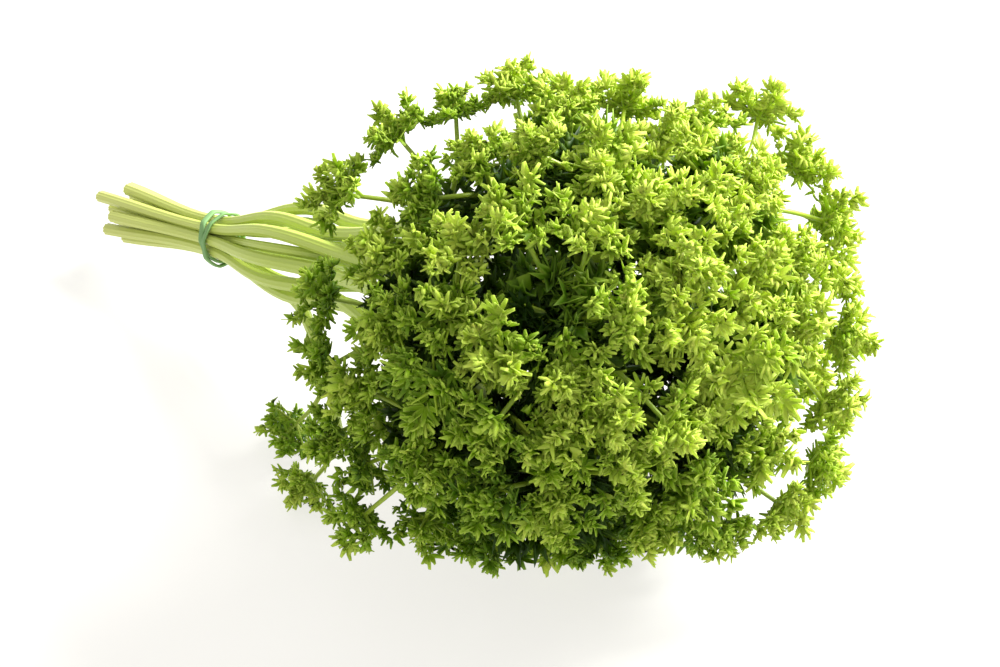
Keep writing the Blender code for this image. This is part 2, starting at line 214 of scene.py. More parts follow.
class Stem:
    """One leafy stem: its path from the cut end, its radii, its forks, and the tufts it carries."""

    def __init__(self, name, tip, slot, slot_radius, cut):
        self.name, self.slot = name, slot
        self.reach = (tip - TIE) @ ALONG
        self.fan = tip - TIE - self.reach * ALONG - slot
        self.path = [TIE - cut * ALONG + slot * CUT_SPREAD - CUT_DROP * np.array((0.0, 0.0, 1.0))]
        self.path += [self.at(share) for share in PATH_SHARES]
        swell, full = slot_radius * STEM_SWELL, slot_radius * STEM_FULL
        self.radii = [swell, slot_radius, swell, full, *FORK_RADII]
        self.tufts, self.stalks, self.beads = [], [], []

    def at(self, share):
        return TIE + self.slot + share * self.reach * ALONG + share**FAN_POWER * self.fan

    def forks(self):
        """Each fork with the way the stem arrives at it."""
        for i in range(-FORKS_PER_STEM, 0):
            yield self.path[i], unit(self.path[i] - self.path[i - 1])

    def add(self, stalk, tuft):
        self.stalks.append(stalk)
        self.tufts.append(tuft)
        self.beads.append(samples(stalk, STALK_RADII))


def samples(path, radii):
    """Points and radii along a path, one every SAMPLE_STEP or so."""
    found = []
    for (a, b), (ra, rb) in zip(zip(path, path[1:]), zip(radii, radii[1:])):
        count = max(1, math.ceil(np.linalg.norm(b - a) / SAMPLE_STEP))
        for i in range(count + 1):
            found.append((*(a + (b - a) * i / count), ra + (rb - ra) * i / count))
    return np.array(found)


def plan_stems(draw):
    """The stems, each with the place in the band that suits the way it leaves it."""
    middle = HEAD_CENTRE - FORKS_SPREAD_FROM * ALONG
    tips = {name: middle + out * (on_head(a, u) - middle) for name, (a, u, out) in FORKS.items()}
    for name, (x, y, z, out) in FAR_FORKS.items():
        tips[name] = middle + out * HEAD_RADII * unit(np.array((x, y, z)))
    tips["sprig_short"] = at_height(*LOW_FORK)
    ways = {name: ((tip - TIE) @ SIDE, (tip - TIE) @ RISE) for name, tip in tips.items()}
    by_width = sorted(ways, key=lambda name: -math.hypot(*ways[name]))
    stems = []
    for names, ring, radius in (
        (by_width[:OUTER_STEMS], OUTER_RING, OUTER_RADIUS),
        (by_width[OUTER_STEMS:], INNER_RING, INNER_RADIUS),
    ):
        turns = {name: math.atan2(ways[name][1], ways[name][0]) for name in names}
        order = sorted(names, key=turns.get)
        step = 2 * math.pi / len(order)
        lead = np.mean([turns[name] - i * step for i, name in enumerate(order)])
        for i, name in enumerate(order):
            turn = lead + i * step
            slot = ring * (math.cos(turn) * SIDE + math.sin(turn) * RISE)
            cut = CUT_BEHIND_TIE + draw.uniform(-CUT_STAGGER, CUT_STAGGER)
            stems.append(Stem(name, tips[name], slot, radius, cut))
    ease_apart(stems)
    for stem in stems:
        stem.beads.append(samples(stem.path, stem.radii))
    return stems


def ease_apart(stems):
    """Bends stems that run too close away from each other, all but their places in the band."""
    for _ in range(EASE_ROUNDS):
        for i, first in enumerate(stems):
            for second in stems[i + 1 :]:
                a, b = samples(first.path, first.radii), samples(second.path, second.radii)
                apart = np.linalg.norm(a[:, None, :3] - b[None, :, :3], axis=2)
                room = apart - a[:, None, 3] - b[None, :, 3] - GAP - EASE_MARGIN
                j, k = np.unravel_index(room.argmin(), room.shape)
                if room[j, k] >= 0:
                    continue
                push = unit(a[j, :3] - b[k, :3]) * -room[j, k] * EASE_SHARE
                for stem, point, way in ((first, a[j, :3], push), (second, b[k, :3], -push)):
                    off = [np.linalg.norm(place - point) for place in stem.path]
                    for n in np.argsort(off)[:EASED_POINTS]:
                        if n != TIE_POINT:
                            stem.path[n] = stem.path[n] + way


def clear_of(stalk, owner, stems):
    """True if a stalk keeps off every other stem, its stalks and its tufts."""
    mine = samples(stalk, STALK_RADII)
    for other in (stem for stem in stems if stem is not owner):
        theirs = np.concatenate(other.beads)
        apart = np.linalg.norm(mine[:, None, :3] - theirs[None, :, :3], axis=2)
        if (apart - mine[:, None, 3] - theirs[None, :, 3]).min() < STALK_CLEARANCE:
            return False
        for tuft in other.tufts:
            if np.linalg.norm(mine[:, :3] - tuft["site"], axis=1).min() < LEAF_TO_STEM:
                return False
    return True


def attach(site, radius, stems, open_leaf=False, flat=False):
    """Gives a tuft to the nearest fork that a clear stalk can reach."""
    beads = np.concatenate([bead for stem in stems for bead in stem.beads])
    if (np.linalg.norm(beads[:, :3] - site, axis=1) - beads[:, 3]).min() < SITE_TO_STEM:
        return False
    forks = [(stem, fork, away) for stem in stems for fork, away in stem.forks()]
    reaches = [np.linalg.norm(site - fork) for _, fork, _ in forks]
    for n in np.argsort(reaches)[:FORKS_TRIED]:
        stem, fork, away = forks[n]
        reach = reaches[n]
        if unit(site - fork) @ away < MOST_BACKWARD:
            continue
        bend = fork + 0.5 * (site - fork) + STALK_BOW * reach * away
        stalk = [fork, bend, site]
        if clear_of(stalk, stem, stems):
            stem.add(stalk, {"site": site, "radius": radius, "from": bend, "flat": flat, "open": open_leaf})
            return True
    return False


def plan():
    """The stems with all their tufts: those that carry the bunch, those seen, and those that fill."""
    draw = random.Random(LAYOUT_SEED)
    stems = plan_stems(draw)
    placed = []
    for x, y, radius in REST_TUFTS:
        rest = np.array((x, y, LEAF_THICKNESS / 2))
        if attach(rest, radius, stems, flat=True):
            placed.append(rest)
    sites = [(at_height(across, up, height), radius) for across, up, radius, height in LOW_TUFTS]
    sites += [(on_head(across, up), radius) for across, up, radius in TUFTS]
    for site, radius in sites:
        if attach(site, radius, stems, open_leaf=radius > OPEN_FROM_RADIUS):
            placed.append(site)
    for share, spacing in FILLS:
        for _ in range(FILL_TRIES):
            way = unit(np.array([draw.gauss(0, 1) for _ in range(3)]))
            site = HEAD_CENTRE + share * HEAD_RADII * way
            seen = share == 1 and head_normal(site) @ VIEW_BACK > FILL_NEAREST_VIEW
            if unit(site - HEAD_CENTRE) @ ALONG < FILL_REARMOST or seen:
                continue
            if min(np.linalg.norm(site - other) for other in placed) < spacing:
                continue
            if attach(site, max(FILL_RADIUS_SHARE * spacing, FILL_LEAST_RADIUS), stems):
                placed.append(site)
    return stems


# The pinnules that every leaf is built of, small fans of three teeth, and their outlines.
# Each row runs from the foot to the rim, as a share of the pinnule's length.
PINNULE_FOOT = 0.05
PINNULE_SPREAD = math.radians(54.0)
TEETH = 3
HALF_THICKNESS = 0.1
SHEET_THICKNESS = 0.2
TOOTH_REACH = (0.0, 0.4, 0.73, 1.0)
CLEFT_REACH = (0.0, 0.2, 0.3, 0.38)
EDGE_REACH = (0.0, 0.24, 0.38, 0.48)
TOOTH_WIDTH = (0.62, 0.6, 0.52, 0.25)
FAN_DROOP = 0.24

# How pinnules curl: a mean with how much it varies, or the least and the most
TOOTH_VARIES = (0.84, 1.1)
CURL_START = 0.3
WHOLE_CURL = (0.45, 0.75)
CURL_OF_TOOTH = (0.0, 1.0)
EVEN_CURL = 0.5
RIM_CURL = 1.6
FOLD = (0.12, 0.2)
RUFFLE = (0.02, 0.09)
RUFFLE_POWER = 1.5
SWING = (0, 0.12)

# A tuft's branches: how many, how far they lean from its axis, and how far out they reach
CURLED = ((6, 76, 0.6), (3, 44, 0.58), (1, 8, 0.5))
OPEN = ((6, 82, 0.6), (3, 50, 0.4))
PRESSED = ((6, 89, 0.6),)
INNER = ((4, 82, 0.55), (3, 42, 0.5))
# How much the leaves of each kind curl, where a ruffled tuft has 1
OPEN_CURL = 0.55
PRESSED_CURL = 0.12
OUTWARD_PULL = 0.9
LEAF_FULLNESS = 1.26
BRANCH_TURN_VARIES = 0.2
BRANCH_LEAN_VARIES = 12
BRANCH_VARIES = (0.85, 1.1)

# Pinnules of a leaflet: turn to the side, start and length as shares of the leaflet's length
LOBES = ((46, 0.22, 0.66), (-46, 0.22, 0.66), (0, 0.3, 0.7))
ONE_LOBE = ((0, 0.0, 1.0),)
# Leaflets along a branch: place along it, turn to the side, length as a share of the tuft's radius
ALONG_BRANCH = (
    (0.34, 66, 0.28, ONE_LOBE),
    (0.34, -66, 0.28, ONE_LOBE),
    (0.6, 56, 0.3, ONE_LOBE),
    (0.6, -56, 0.3, ONE_LOBE),
    (0.84, 44, 0.36, LOBES),
    (0.84, -44, 0.36, LOBES),
    (1.0, 0, 0.41, LOBES),
)
ALONG_INNER_BRANCH = (
    (0.45, 62, 0.42, ONE_LOBE),
    (0.45, -62, 0.42, ONE_LOBE),
    (0.8, 42, 0.42, ONE_LOBE),
    (0.8, -42, 0.42, ONE_LOBE),
    (1.0, 0, 0.46, ONE_LOBE),
)
LEAFLET_TURN_VARIES = 12
LEAFLET_WANDER = 0.16
LOBE_TURN_VARIES = 10
LOBE_WANDER = 0.2
TWIST = 0.5
LENGTH_VARIES = (0.85, 1.15)
# How far leaf may pass the plane half way to the next tuft, and the shortest pinnule that is kept
MERGE_INTO_NEXT = 0.4
INNER_MERGE = 3.0
LEAST_TOWARD = 0.05
LEAST_KEPT = 0.35

# Tufts inside the head: their size, their places along a stalk, and how far out they may stand
INNER_RADIUS_OF_TUFT = 11.5
INNER_PLACES = (0.3, 0.62)
PRESSED_PLACES = (0.3, 0.5, 0.7)
STEM_PLACES = (-3, -2, -1)
INNER_REACH = 0.85
UNDERSIDE = 0.8

# How bright leaf is: painted light and shade, brighter to the right, higher up and further out, and darker
# inside the head, with random variation per tuft and per leaf
TONE = 0.62
PAINTED_LIGHT_RIGHT = 0.32
PAINTED_LIGHT_UP = 0.24
TONE_LIMITS = (0.5, 1.0)
INNER_PAINTED_SHADE = 0.62
DEPTH_PAINTED_SHADE = 0.45
MIDDLE_DEPTH = 0.3
TUFT_TONE_VARIES = 0.11
LEAF_TONE_VARIES = 0.1

# The stalks: their ribs, and how fine their tubes are
RIBS = 9
POINTS_PER_RIB = 4
GROOVE_DEPTH = 0.13
BRANCH_RADII = (0.42, 0.22)
STEM_STEPS = 8
STALK_STEPS = 5
STALK_TUBE_SIDES = 10
BRANCH_SIDES = 6
WELD_METRES = 1e-6
SHARP_ANGLE = math.radians(60)

# The stretched band
HULL_STEPS = 360
LEAST_FACING = 0.3
RING_STEPS = 160
RING_SIDES = 16
SQUARENESS = 0.45
ROUNDED = 0.85

# Pieces end this far inside the box of the solids, in metres
EDGE_OF_BOX = 0.0003

# Colours, from dark to bright leaf, from its foot to its tips, and from the cut ends to the head. Leaf goes
# from dark to bright with the painted light and shade of each vertex; the darkest green is the painted
# shade inside the head.
LEAF_GREENS_AND_PAINTED_SHADE = (
    (0.0, (0.015, 0.05, 0.001)),
    (0.22, (0.1, 0.24, 0.004)),
    (0.55, (0.3, 0.5, 0.008)),
    (0.92, (0.73, 0.81, 0.12)),
)
PALE_SHARES = (
    (0.0, (0.6, 0.6, 0.6)),
    (0.4, (0.0, 0.0, 0.0)),
    (0.6, (0.16, 0.16, 0.16)),
    (1.0, (1.0, 1.0, 1.0)),
)
PALE_GREEN = (0.7, 0.85, 0.14, 1.0)
PATCH_SCALE = 60.0
PATCH_WEIGHT = 0.5
# The colour of the light that comes through a leaf, how much it tints, and how much comes through
GREEN_LIGHT = (0.62, 0.85, 0.03, 1.0)
GREEN_LIGHT_SHARE = 0.5
LIGHT_THROUGH = 0.42
STALK_GREENS = ((0.0, (0.56, 0.6, 0.16)), (0.4, (0.47, 0.57, 0.1)), (1.0, (0.36, 0.5, 0.03)))
# Where the stalks' colours start and end along the bunch, in metres
STALK_GREENS_ALONG = (-0.12, 0.04)
RUBBER_GREEN = (0.19, 0.35, 0.13, 1.0)
TABLE_SIZE = 6.0
TABLE_WHITE = (0.25, 0.245, 0.235, 1.0)
TABLE_GLOW = (1.0, 0.98, 0.935, 1.0)
TABLE_GLOW_STRENGTH = 0.76

# The picture and its lights. The table, and the window's place, aim and size, are in metres.
LENS = 91.3
LENS_SHIFT = (-0.09, -0.0135)
WINDOW_ASIDE = 1.1
WINDOW_BEHIND = 0.7
WINDOW_HEIGHT = 1.0
WINDOW_AIM = (0.05, 0, 0.05)
WINDOW_SIZE = 0.8
WINDOW_POWER = 85.0
SKY_STRENGTH = 0.8


def deselect():
    bpy.ops.object.select_all(action="DESELECT")


def added(name, data):
    """A new object of the scene."""
    made = bpy.data.objects.new(name, data)
    bpy.context.scene.collection.objects.link(made)
    return made


def mesh_from(name, shape):
    """The mesh of a finished shape, which is freed."""
    mesh = bpy.data.meshes.new(name)
    shape.to_mesh(mesh)
    shape.free()
    return mesh


def vertex_places(mesh):
    found = np.empty(len(mesh.vertices) * 3, np.float32)
    mesh.vertices.foreach_get("co", found)
    return found.reshape(-1, 3)


def set_places(mesh, places):
    """Gives a mesh its vertices, in metres, and keeps them all in the box of the solids."""
    low, high = np.array(cad_box[0]) + EDGE_OF_BOX, np.array(cad_box[1]) - EDGE_OF_BOX
    mesh.vertices.foreach_set("co", np.clip(places, low, high).astype(np.float32).ravel())


class Pinnule:
    """The flat sheet with a thickness that pinnules are copied from, and the ways they can curl."""

    def __init__(self, points_per_tooth, rows):
        """How many points each tooth has at the rim, and how many steps run from foot to rim."""
        per = points_per_tooth + 1
        count = TEETH * per
        deselect()
        bpy.ops.mesh.primitive_grid_add(x_subdivisions=count, y_subdivisions=rows, size=2)
        sheet = bpy.context.object
        wall = sheet.modifiers.new("Thickness", "SOLIDIFY")
        wall.thickness = SHEET_THICKNESS
        wall.offset = 0.0
        bpy.ops.object.modifier_apply(modifier=wall.name)
        self.mesh = sheet.data.copy()
        bpy.data.objects.remove(sheet)
        places = vertex_places(self.mesh)
        self.column = np.rint((places[:, 0] + 1) / 2 * count).astype(int)
        self.row = np.rint((places[:, 1] + 1) / 2 * rows).astype(int)
        self.face = np.sign(places[:, 2])[:, None]
        self.mesh.shade_smooth()
        columns = np.arange(count + 1)
        self.tooth = np.minimum(columns // per, TEETH - 1)
        cleft = columns % per == 0
        shares = np.linspace(0, 1, rows + 1)
        at_tooth, at_cleft, at_edge, width = (
            np.interp(shares, np.linspace(0, 1, len(outline)), outline)
            for outline in (TOOTH_REACH, CLEFT_REACH, EDGE_REACH, TOOTH_WIDTH)
        )
        centre = (2 * self.tooth + 1) / TEETH - 1
        side = np.where(cleft | (points_per_tooth == 1), 0, np.where(columns % per == 1, -1, 1))
        self.across = np.where(cleft, columns / count * 2 - 1, centre + side * width[:, None] / TEETH)
        reach = np.where(cleft, at_cleft[:, None], at_tooth[:, None])
        reach[:, 0] = reach[:, -1] = at_edge
        self.reach = PINNULE_FOOT + (1 - PINNULE_FOOT) * reach * (1 - FAN_DROOP * self.across[-1] ** 2)

    def curled(self, count, draw, curl):
        """The middle surfaces of some pinnules, one long, that grow along +Y from the origin."""
        rows, columns = self.reach.shape
        reach = self.reach * draw.uniform(*TOOTH_VARIES, (count, 1, TEETH))[:, :, self.tooth]
        reach[:, 0] = PINNULE_FOOT
        whole = draw.normal(*WHOLE_CURL, (count, 1, 1)) * curl
        own = draw.normal(*CURL_OF_TOOTH, (count, 1, TEETH))[:, :, self.tooth] * curl
        steps = np.diff(reach, axis=1)
        middle = (reach[:, 1:] + reach[:, :-1]) / 2
        angle = whole * (EVEN_CURL * middle + RIM_CURL * np.maximum(0, middle - CURL_START)) + own * middle
        zero = np.zeros((count, 1, columns))
        out = PINNULE_FOOT + np.concatenate([zero, np.cumsum(steps * np.cos(angle), axis=1)], axis=1)
        lift = np.concatenate([zero, np.cumsum(steps * np.sin(angle), axis=1)], axis=1)
        fold = draw.normal(*FOLD, (count, 1, 1)) * curl
        rise = np.linspace(0, 1, rows)[:, None] ** RUFFLE_POWER
        ruffle = draw.uniform(*RUFFLE, (count, 1, 1)) * curl * np.where(self.tooth % 2 == 0, 1, -1)
        lift = lift + rise * (fold * np.abs(self.across) + ruffle)
        swing = draw.normal(*SWING, (count, 1, 1)) * rise
        turn = self.across * PINNULE_SPREAD + swing
        return np.stack([out * np.sin(turn), out * np.cos(turn), lift], axis=-1)

    def placed(self, feet, ways, faces, lengths, draw, curl):
        """The vertices of some pinnules in millimetres, each to its foot, its way and its upper face."""
        surface = self.curled(len(feet), draw, curl)
        turn = np.stack([np.cross(ways, faces), ways, faces], axis=1)
        surface = lengths[:, None, None, None] * np.einsum("nrck,nkx->nrcx", surface, turn)
        surface = feet[:, None, None] + surface
        normal = np.cross(np.gradient(surface, axis=2), np.gradient(surface, axis=1))
        normal /= np.linalg.norm(normal, axis=-1, keepdims=True) + 1e-9
        thick = self.face * HALF_THICKNESS
        return surface[:, self.row, self.column] + thick * normal[:, self.row, self.column]


def turned(way, axis, angle):
    return np.array(Matrix.Rotation(angle, 3, Vector(axis)) @ Vector(way))


def either_way(most, draw):
    return draw.uniform(-most, most)


def spread_of(tuft):
    """A tuft's branches, its axis and how much it curls."""
    if tuft["flat"]:
        return PRESSED, np.array((0.0, 0.0, -1.0)), PRESSED_CURL
    if tuft.get("inner"):
        return INNER, unit(tuft["site"] - tuft["from"]), 1.0
    axis = unit(unit(tuft["site"] - tuft["from"]) + OUTWARD_PULL * head_normal(tuft["site"]))
    return (OPEN, axis, OPEN_CURL) if tuft["open"] else (CURLED, axis, 1.0)


def neighbours_of(tuft, tufts):
    """The planes half way to the tufts around: unit vectors from the tuft, and how far off each is."""
    ways = np.array([other["site"] for other in tufts if other is not tuft]) - tuft["site"]
    apart = np.linalg.norm(ways, axis=1)
    near = apart < 3 * WIDEST_TUFT
    return ways[near] / apart[near, None], apart[near] / 2


def branches_of(tuft, draw):
    """The ends of the branches that a tuft divides into, from its site, each with its upper face."""
    layers, axis, _ = spread_of(tuft)
    radius = tuft["radius"] * LEAF_FULLNESS
    across = unit(np.cross(axis, draw.normal(0, 1, 3)))
    up = np.cross(axis, across)
    for count, lean, share in layers:
        start = draw.uniform(0, 2 * math.pi)
        for i in range(count):
            turn = start + (i + either_way(BRANCH_TURN_VARIES, draw)) * 2 * math.pi / count
            tilt = math.radians(lean + (0 if tuft["flat"] else either_way(BRANCH_LEAN_VARIES, draw)))
            spoke = math.cos(turn) * across + math.sin(turn) * up
            way = math.sin(tilt) * spoke + math.cos(tilt) * axis
            face = math.cos(tilt) * -spoke + math.sin(tilt) * axis
            yield way * share * radius * draw.uniform(*BRANCH_VARIES), face


def wandered(way, face, sideways, about, draw):
    """A direction swung a little at random, and its upper face turned about it."""
    way = unit(way + sideways * draw.normal(0, 1, 3))
    return way, turned(unit(face - (face @ way) * way), way, about * draw.normal(0, 1))


def pinnules_of(tuft, walls, draw):
    """The foot, way, upper face and length of each pinnule of a tuft."""
    radius = tuft["radius"] * LEAF_FULLNESS
    _, _, curl = spread_of(tuft)
    normals, offs = walls
    merge = INNER_MERGE if tuft.get("inner") else MERGE_INTO_NEXT
    for end, face in branches_of(tuft, draw):
        beyond = normals @ end / offs
        if beyond.max(initial=0) > 1:
            end = end / beyond.max()
        for share, side, length, lobes in ALONG_INNER_BRANCH if tuft.get("inner") else ALONG_BRANCH:
            turn = math.radians(side + either_way(LEAFLET_TURN_VARIES, draw))
            along = turned(unit(end), face, turn)
            along, leaflet_face = wandered(along, face, LEAFLET_WANDER * curl, TWIST * curl, draw)
            whole = length * radius * draw.uniform(*LENGTH_VARIES)
            for lobe_side, start, lobe in lobes:
                foot = share * end + start * whole * along
                turn = math.radians(lobe_side + either_way(LOBE_TURN_VARIES, draw))
                way = turned(along, leaflet_face, turn)
                way, upper = wandered(way, leaflet_face, LOBE_WANDER * curl, TWIST * curl, draw)
                reach = lobe * whole * draw.uniform(*LENGTH_VARIES)
                toward = normals @ way
                facing = toward > LEAST_TOWARD
                room = (offs + merge - normals @ foot)[facing] / toward[facing]
                reach = min(reach, room.min(initial=reach))
                if reach > LEAST_KEPT * lobe * whole:
                    yield tuft["site"] + foot, way, upper, reach


def depth_in_head(site):
    """How far out a place is, as a share of the head's size: above the head's middle, 1 is its surface."""
    off = (site - HEAD_CENTRE) / HEAD_RADII
    return np.linalg.norm(off * (1, 1, UNDERSIDE if off[2] < 0 else 1))


def inner_tufts(stem):
    """More tufts along the stalks and at the forks, which close the inside of the head."""
    found = []
    for stalk, tuft in zip(stem.stalks, stem.tufts):
        fork, bend, site = stalk
        places = PRESSED_PLACES if tuft["flat"] else INNER_PLACES
        found += [((1 - t) ** 2 * fork + 2 * t * (1 - t) * bend + t**2 * site, fork) for t in places]
    found += [(stem.path[n], stem.path[n - 1]) for n in STEM_PLACES]
    size = {"radius": INNER_RADIUS_OF_TUFT, "flat": False, "open": False, "inner": True}
    inside = ((site, start) for site, start in found if depth_in_head(site) < INNER_REACH)
    return [{"site": site, "from": start, **size} for site, start in inside]


def tones_and_painted_light_of(tuft, places, axis, draw):
    """How bright each vertex of a tuft's pinnules is: painted light towards the right and top of the head
    and at the tuft's outer end, painted shade near its foot and inside the head, and random variation.
    """
    off = (tuft["site"] - HEAD_CENTRE) / HEAD_RADII
    # Painted light: a tuft is brighter towards the right of the picture and higher up the head, clipped,
    # with random variation per tuft
    shade = np.clip(TONE + PAINTED_LIGHT_RIGHT * off @ VIEW_RIGHT + PAINTED_LIGHT_UP * off[2], *TONE_LIMITS)
    shade += draw.normal(0, TUFT_TONE_VARIES)
    # Painted shade: leaves of the tufts inside the head are made much darker
    shade -= INNER_PAINTED_SHADE if tuft.get("inner") else 0.0
    # Painted light and shade: leaf near the outer end of its tuft is brighter and leaf near its foot
    # darker, with random variation per leaf
    depth = (places - tuft["site"]) @ axis / (tuft["radius"] * LEAF_FULLNESS)
    return shade + DEPTH_PAINTED_SHADE * (depth - MIDDLE_DEPTH) + draw.normal(0, LEAF_TONE_VARIES, (len(places), 1))


def leaves(name, seed, tufts, all_tufts, pinnule, material):
    """The leaf of some tufts, as one piece."""
    draw = np.random.default_rng([ord(letter) for letter in seed])
    groups, tones_and_painted_light = [], []
    for tuft in tufts:
        made = list(pinnules_of(tuft, neighbours_of(tuft, all_tufts), draw))
        if not made:
            continue
        feet, ways, faces, lengths = (np.array(part) for part in zip(*made))
        _, axis, curl = spread_of(tuft)
        groups.append(pinnule.placed(feet, ways, faces, lengths, draw, curl))
        tones_and_painted_light.append(tones_and_painted_light_of(tuft, groups[-1], axis, draw))
    places, tones_and_painted_light = np.concatenate(groups), np.concatenate(tones_and_painted_light)
    shape = bmesh.new()
    for _ in places:
        shape.from_mesh(pinnule.mesh)
    mesh = mesh_from(name, shape)
    set_places(mesh, places.reshape(-1, 3) * MM)
    attribute = mesh.attributes.new("tone", "FLOAT", "POINT")
    attribute.data.foreach_set("value", tones_and_painted_light.astype(np.float32).ravel())
    mesh.materials.append(material)
    return added(name, mesh)


def ribbed_profile():
    """The outline of a leafstalk cut across: a circle one across its radius, with shallow grooves."""
    curve = bpy.data.curves.new("ribbed_profile", "CURVE")
    spline = curve.splines.new("POLY")
    spline.points.add(RIBS * POINTS_PER_RIB - 1)
    for i, point in enumerate(spline.points):
        turn = 2 * math.pi * i / (RIBS * POINTS_PER_RIB)
        radius = MM * (1 - GROOVE_DEPTH * (1 - math.cos(RIBS * turn)) / 2)
        point.co = (radius * math.cos(turn), radius * math.sin(turn), 0, 1)
    spline.use_cyclic_u = True
    return added("ribbed_profile", curve)


def tubes(strands, smooth_steps, sides=None, profile=None):
    """Tubes through the points of each strand, as one mesh."""
    curve = bpy.data.curves.new("tubes", "CURVE")
    curve.dimensions = "3D"
    if profile is None:
        curve.bevel_depth = MM
        curve.bevel_resolution = (sides - 4) // 2
    else:
        curve.bevel_mode = "OBJECT"
        curve.bevel_object = profile
    curve.resolution_u = smooth_steps
    curve.use_fill_caps = True
    for path, radii in strands:
        spline = curve.splines.new("BEZIER")
        spline.bezier_points.add(len(path) - 1)
        for point, place, radius in zip(spline.bezier_points, path, radii):
            point.co = place * MM
            point.radius = radius
            point.handle_left_type = point.handle_right_type = "AUTO"
    made = added("tubes", curve)
    graph = bpy.context.evaluated_depsgraph_get()
    mesh = bpy.data.meshes.new_from_object(made.evaluated_get(graph))
    bpy.data.objects.remove(made)
    return mesh


def stalks(name, stem, profile, material):
    """The stem, its stalks and the thin branches in its tufts, as one piece."""
    draw = np.random.default_rng([ord(letter) for letter in stem.name])
    branches = []
    for tuft in stem.tufts:
        for end, _ in branches_of(tuft, draw):
            branches.append(([tuft["site"], tuft["site"] + end], BRANCH_RADII))
    meshes = [
        tubes([(stem.path, stem.radii)], STEM_STEPS, profile=profile),
        tubes([(stalk, STALK_RADII) for stalk in stem.stalks], STALK_STEPS, sides=STALK_TUBE_SIDES),
        tubes(branches, 1, sides=BRANCH_SIDES),
    ]
    shape = bmesh.new()
    for mesh in meshes:
        shape.from_mesh(mesh)
        bpy.data.meshes.remove(mesh)
    bmesh.ops.remove_doubles(shape, verts=shape.verts, dist=WELD_METRES)
    mesh = mesh_from(name, shape)
    set_places(mesh, vertex_places(mesh))
    mesh.shade_smooth()
    mesh.set_sharp_from_angle(angle=SHARP_ANGLE)
    mesh.materials.clear()
    mesh.materials.append(material)
    return added(name, mesh)


def hull_around(stems, turns):
    """How far from the tie the stems reach, stretched over as a band is, for each turn about the bundle."""
    slots = np.array([(stem.slot @ SIDE, stem.slot @ RISE) for stem in stems])
    radii = np.array([stem.radii[TIE_POINT] for stem in stems])
    facing = np.linspace(0, 2 * math.pi, HULL_STEPS, endpoint=False)
    reach = (slots @ np.array((np.cos(facing), np.sin(facing))) + radii[:, None]).max(axis=0)
    apart = np.cos(turns[:, None] - facing)
    return np.where(apart > LEAST_FACING, reach / np.maximum(apart, LEAST_FACING), np.inf).min(axis=1)


def band(stems, material):
    """A closed flat loop wound twice: its two turns part on the far side and cross once underneath."""
    deselect()
    bpy.ops.mesh.primitive_torus_add(
        major_segments=RING_STEPS, minor_segments=RING_SIDES, major_radius=1.0, minor_radius=RING_THICKNESS
    )
    made = bpy.context.object
    made.name = made.data.name = "elastic_band"
    ways = np.arctan2(*vertex_places(made.data).T[1::-1].astype(float))
    rounds = hull_around(stems, 2 * ways + BAND_PARTS_AT) + BAND_THICKNESS / 2
    for vertex, u, hull in zip(made.data.vertices, ways, rounds):
        x, y, z = vertex.co
        turn = 2 * u + BAND_PARTS_AT
        out = (math.hypot(x, y) - 1.0) / RING_THICKNESS
        wide = z / RING_THICKNESS
        square = max(abs(out), abs(wide)) ** -SQUARENESS
        out *= square * BAND_THICKNESS / 2 * ROUNDED
        wide *= square * BAND_WIDTH / 2 * ROUNDED
        over = (BAND_THICKNESS + GAP) * math.exp(-(((u - math.pi / 2) / CROSSING_LENGTH) ** 2))
        slide = BAND_SPREAD * math.cos(u) ** 3 + wide
        out += BAND_FLARE * abs(slide)
        spoke = math.cos(turn) * SIDE + math.sin(turn) * RISE
        vertex.co = (TIE + (hull + over + out) * spoke + slide * ALONG) * MM
    made.data.shade_smooth()
    made.data.materials.append(material)
    return made


def shader_of(name):
    made = bpy.data.materials.new(name)
    made.use_nodes = True
    tree = made.node_tree
    return made, tree, tree.nodes["Principled BSDF"], tree.nodes["Material Output"]


def ramp(tree, stops):
    made = tree.nodes.new("ShaderNodeValToRGB")
    elements = made.color_ramp.elements
    while len(elements) < len(stops):
        elements.new(0.5)
    for element, (place, colour) in zip(elements, stops):
        element.position = place
        element.color = (*colour, 1.0)
    return made


